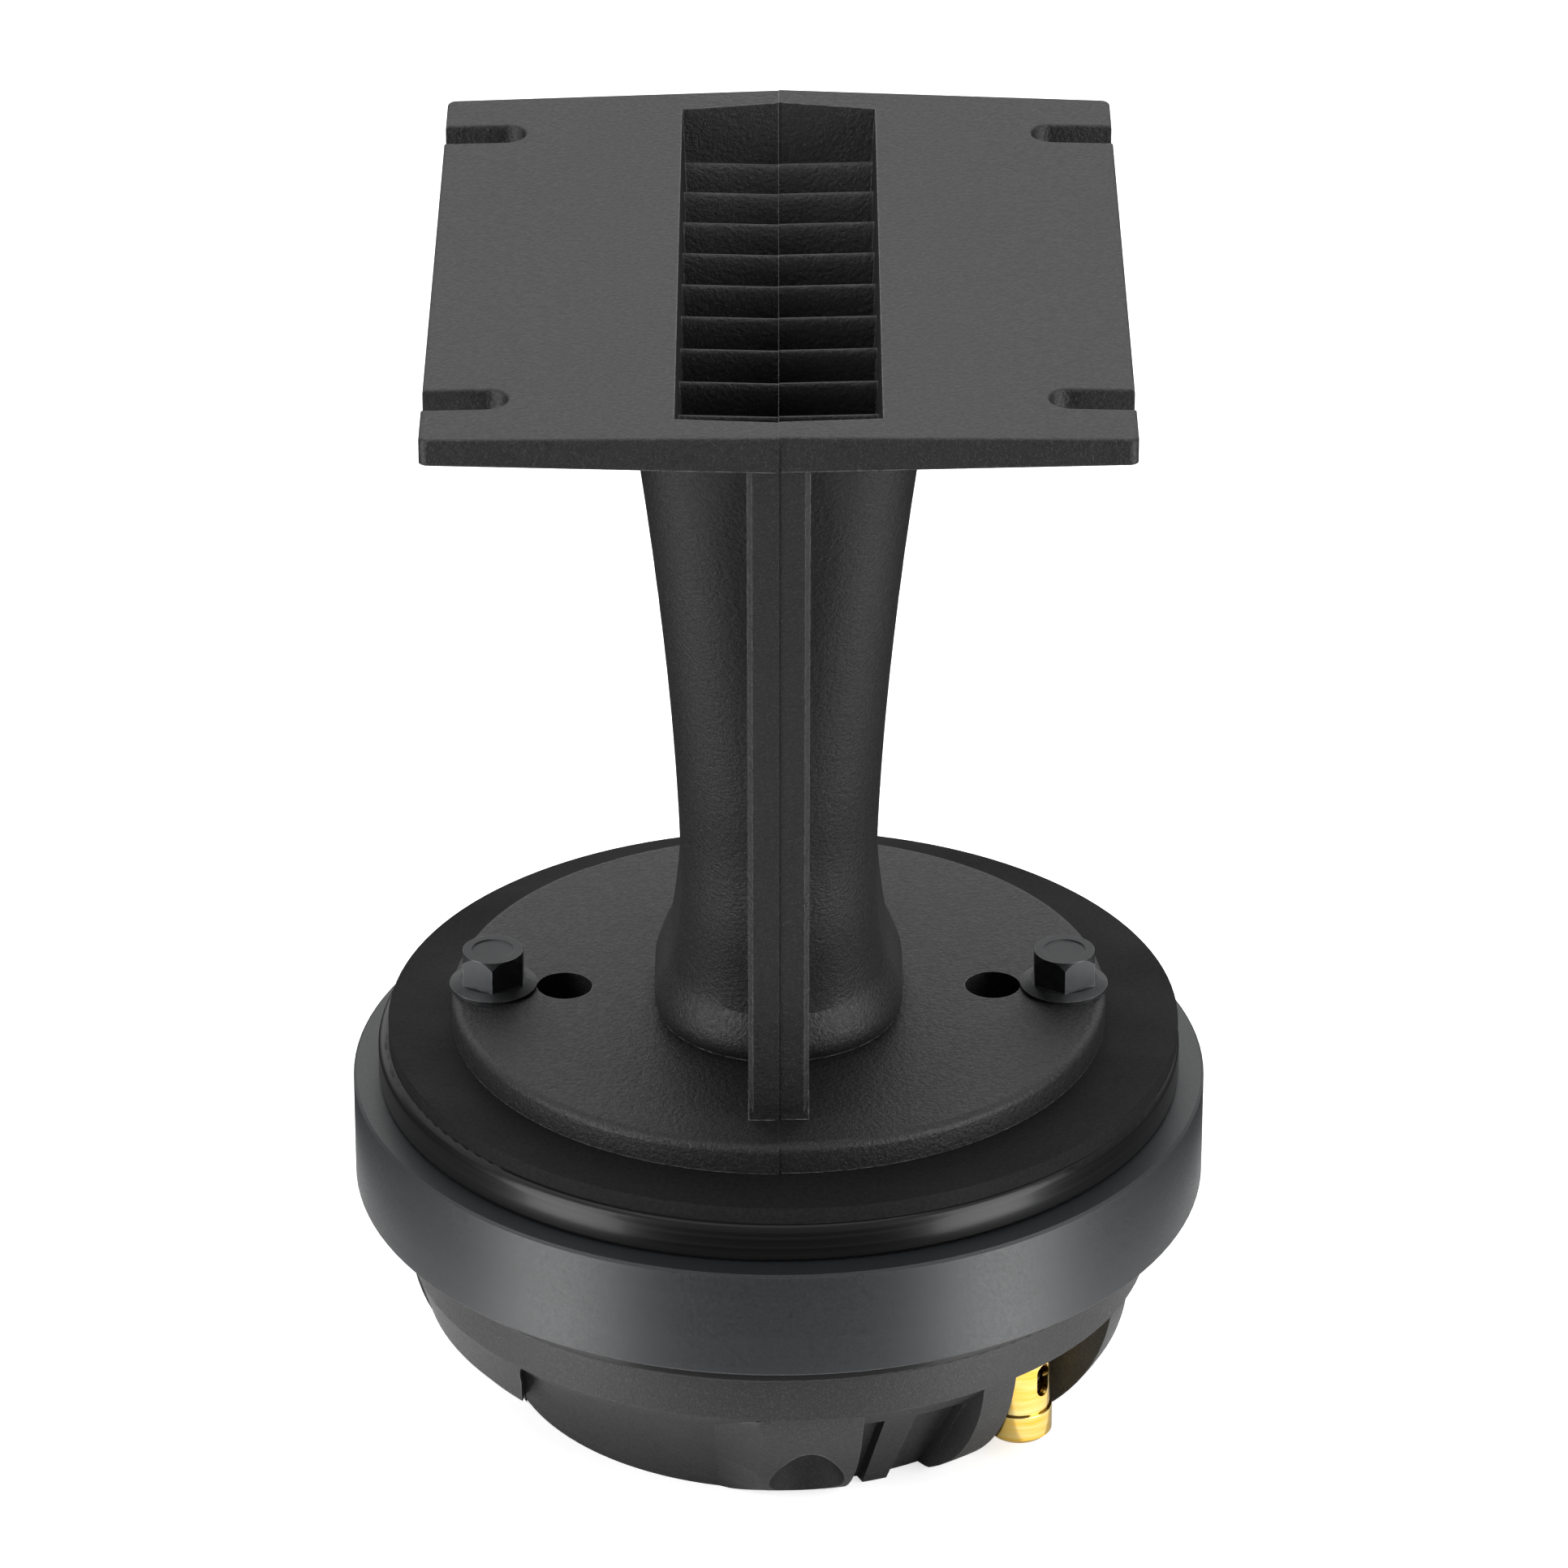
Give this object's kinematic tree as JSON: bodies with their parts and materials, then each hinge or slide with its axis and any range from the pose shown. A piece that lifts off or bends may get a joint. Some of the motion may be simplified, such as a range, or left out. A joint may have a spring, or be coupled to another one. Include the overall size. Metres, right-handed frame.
{
  "type": "horn compression tweeter",
  "caption": "Slot-mouthed horn in two bolted mouldings on a ring-magnet compression driver, with a moulded rear cover and sprung wire terminals.",
  "frame": {"origin": "middle of the rear cover's flat end, which the part stands on", "axes": "+Z along the motor and horn axis towards the mouth; +Y along the long side of the mouth slot; +X across the slot through the two horn bolts"},
  "size_m": [0.114, 0.114, 0.1622],
  "materials": {
    "black_zinc": "black zinc, edges slightly worn",
    "bush_nylon": "black insulator",
    "copper_wire": "enamelled copper",
    "cover_plastic": "satin black moulding",
    "felt": "grey wool felt",
    "ferrite": "satin grey-black ground ferrite",
    "former_film": "amber polyimide film",
    "gasket_black": "matte black",
    "gloss_black_steel": "glossy black paint",
    "gold_plate": "bright gold plate",
    "horn_plastic": "fine textured black moulding",
    "phase_plug_plastic": "satin",
    "pole_steel": "turned",
    "ring_plastic": "moulded",
    "screw_steel": "zinc plated",
    "spring_steel": "spring wire",
    "surround_film": "amber film",
    "tinned_brass": "tinned",
    "titanium": "thin formed titanium foil",
    "wire_insulation": "soft insulation"
  },
  "bodies": {
    "frame": {"cover_gasket": "gasket_black", "cover_screws": "screw_steel", "damping_pad": "felt", "diaphragm_ring": "ring_plastic", "diaphragm_screws": "screw_steel", "front_plate": "gloss_black_steel", "hookup_wire_a": "wire_insulation", "hookup_wire_b": "wire_insulation", "horn_bolts": "black_zinc", "horn_gasket": "gasket_black", "horn_half_left": "horn_plastic", "horn_half_right": "horn_plastic", "lead_ribbon_a": "copper_wire", "lead_ribbon_b": "copper_wire", "magnet": "ferrite", "phase_plug": "phase_plug_plastic", "pole_piece": "pole_steel", "rear_cover": "cover_plastic", "rear_plate": "gloss_black_steel", "solder_tab_a": "tinned_brass", "solder_tab_b": "tinned_brass", "spacer_ring": "ring_plastic", "surround": "surround_film", "terminal_body_a": "gold_plate", "terminal_body_b": "gold_plate", "terminal_bush_a": "bush_nylon", "terminal_bush_b": "bush_nylon", "terminal_lug_a": "tinned_brass", "terminal_lug_b": "tinned_brass", "terminal_nuts": "screw_steel", "terminal_spring_a": "spring_steel", "terminal_spring_b": "spring_steel"},
    "button_a": {"terminal_button_a": "gold_plate"},
    "button_b": {"terminal_button_b": "gold_plate"},
    "diaphragm": {"diaphragm_dome": "titanium", "coil_former": "former_film", "coil_winding": "copper_wire"}
  },
  "joints": [
    {"name": "button_a_press", "type": "slide", "parent": "frame", "child": "button_a", "axis": [0, 0, 1], "range_m": [0, 0.0028], "stiffness_N_per_m": 900, "springref_m": -0.002, "deforming": ["terminal_spring_a"]},
    {"name": "button_b_press", "type": "slide", "parent": "frame", "child": "button_b", "axis": [0, 0, 1], "range_m": [0, 0.0028], "stiffness_N_per_m": 900, "springref_m": -0.002, "deforming": ["terminal_spring_b"]},
    {"name": "diaphragm_travel", "type": "slide", "parent": "frame", "child": "diaphragm", "axis": [0, 0, 1], "range_m": [-0.0004, 0.0004], "stiffness_N_per_m": 60000}
  ]
}
